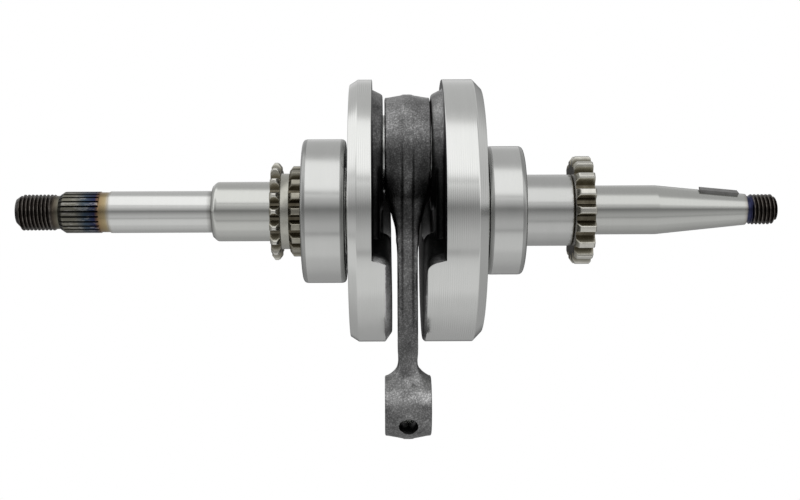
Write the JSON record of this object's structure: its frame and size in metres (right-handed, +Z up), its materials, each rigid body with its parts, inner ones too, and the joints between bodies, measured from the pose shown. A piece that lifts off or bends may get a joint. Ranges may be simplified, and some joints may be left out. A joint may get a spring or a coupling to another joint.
{
  "type": "crankshaft",
  "caption": "Built-up engine crankshaft with counterweighted webs, connecting rod, main ball bearings, timing gears, spline, taper and threaded shaft ends.",
  "frame": {"origin": "centre of the drive-side main bearing, on the crank axis", "axes": "+X along the crank axis from the drive side to the magneto side; +Z up, with the rod hanging straight down; the crankpin stands 22 degrees from +Z towards -Y at rest"},
  "size_m": [0.2482, 0.0854, 0.1164],
  "materials": {
    "crank_steel": "turned rims, ground journals and dark heat-treated forging",
    "ground_steel": "fine ground",
    "key_steel": "satin",
    "gear_steel": "hardened, brownish satin",
    "forged_steel": "as forged, grainy dark grey",
    "ring_steel": "ground bearing steel",
    "ball_steel": "polished",
    "cage_steel": "pressed sheet, satin"
  },
  "bodies": {
    "bearing_rings": {"drive_outer_ring": "ring_steel", "magneto_outer_ring": "ring_steel"},
    "crank": {"drive_crank_half": "crank_steel", "magneto_crank_half": "crank_steel", "crank_pin": "ground_steel", "crank_pin_plug": "ground_steel", "woodruff_key": "key_steel", "timing_sprocket": "gear_steel", "spacer_collar": "ground_steel", "pump_drive_gear": "gear_steel", "drive_inner_ring": "ring_steel", "magneto_inner_ring": "ring_steel"},
    "drive_cage": {"drive_cage_inboard": "cage_steel", "drive_cage_outboard": "cage_steel", "drive_cage_rivets": "cage_steel", "drive_ball_1": "ball_steel", "drive_ball_2": "ball_steel", "drive_ball_3": "ball_steel", "drive_ball_4": "ball_steel", "drive_ball_5": "ball_steel", "drive_ball_6": "ball_steel", "drive_ball_7": "ball_steel", "drive_ball_8": "ball_steel"},
    "magneto_cage": {"magneto_cage_inboard": "cage_steel", "magneto_cage_outboard": "cage_steel", "magneto_cage_rivets": "cage_steel", "magneto_ball_1": "ball_steel", "magneto_ball_2": "ball_steel", "magneto_ball_3": "ball_steel", "magneto_ball_4": "ball_steel", "magneto_ball_5": "ball_steel", "magneto_ball_6": "ball_steel", "magneto_ball_7": "ball_steel", "magneto_ball_8": "ball_steel", "magneto_ball_9": "ball_steel"},
    "rod": {"connecting_rod": "forged_steel"},
    "big_end_rollers": {"big_end_cage": "cage_steel", "big_end_roller_1": "ball_steel", "big_end_roller_2": "ball_steel", "big_end_roller_3": "ball_steel", "big_end_roller_4": "ball_steel", "big_end_roller_5": "ball_steel", "big_end_roller_6": "ball_steel", "big_end_roller_7": "ball_steel", "big_end_roller_8": "ball_steel", "big_end_roller_9": "ball_steel", "big_end_roller_10": "ball_steel", "big_end_roller_11": "ball_steel", "big_end_roller_12": "ball_steel", "big_end_roller_13": "ball_steel", "big_end_roller_14": "ball_steel"}
  },
  "joints": [
    {"name": "crank_spin", "type": "hinge", "parent": "bearing_rings", "child": "crank", "pos_m": [0, 0, 0], "axis": [1, 0, 0], "continuous": true},
    {"name": "drive_cage_spin", "type": "hinge", "parent": "bearing_rings", "child": "drive_cage", "pos_m": [0, 0, 0], "axis": [1, 0, 0], "continuous": true},
    {"name": "magneto_cage_spin", "type": "hinge", "parent": "bearing_rings", "child": "magneto_cage", "pos_m": [0, 0, 0], "axis": [1, 0, 0], "continuous": true},
    {"name": "rod_swing", "type": "hinge", "parent": "crank", "child": "rod", "pos_m": [0.0267, -0.00749, 0.01854], "axis": [1, 0, 0], "continuous": true},
    {"name": "big_end_cage_spin", "type": "hinge", "parent": "crank", "child": "big_end_rollers", "pos_m": [0.0267, -0.00749, 0.01854], "axis": [1, 0, 0], "continuous": true}
  ],
  "couplings": [
    {"joint": "drive_cage_spin", "follows": "crank_spin", "ratio": 0.38152},
    {"joint": "magneto_cage_spin", "follows": "crank_spin", "ratio": 0.39758},
    {"joint": "big_end_cage_spin", "follows": "rod_swing", "ratio": 0.55407}
  ]
}
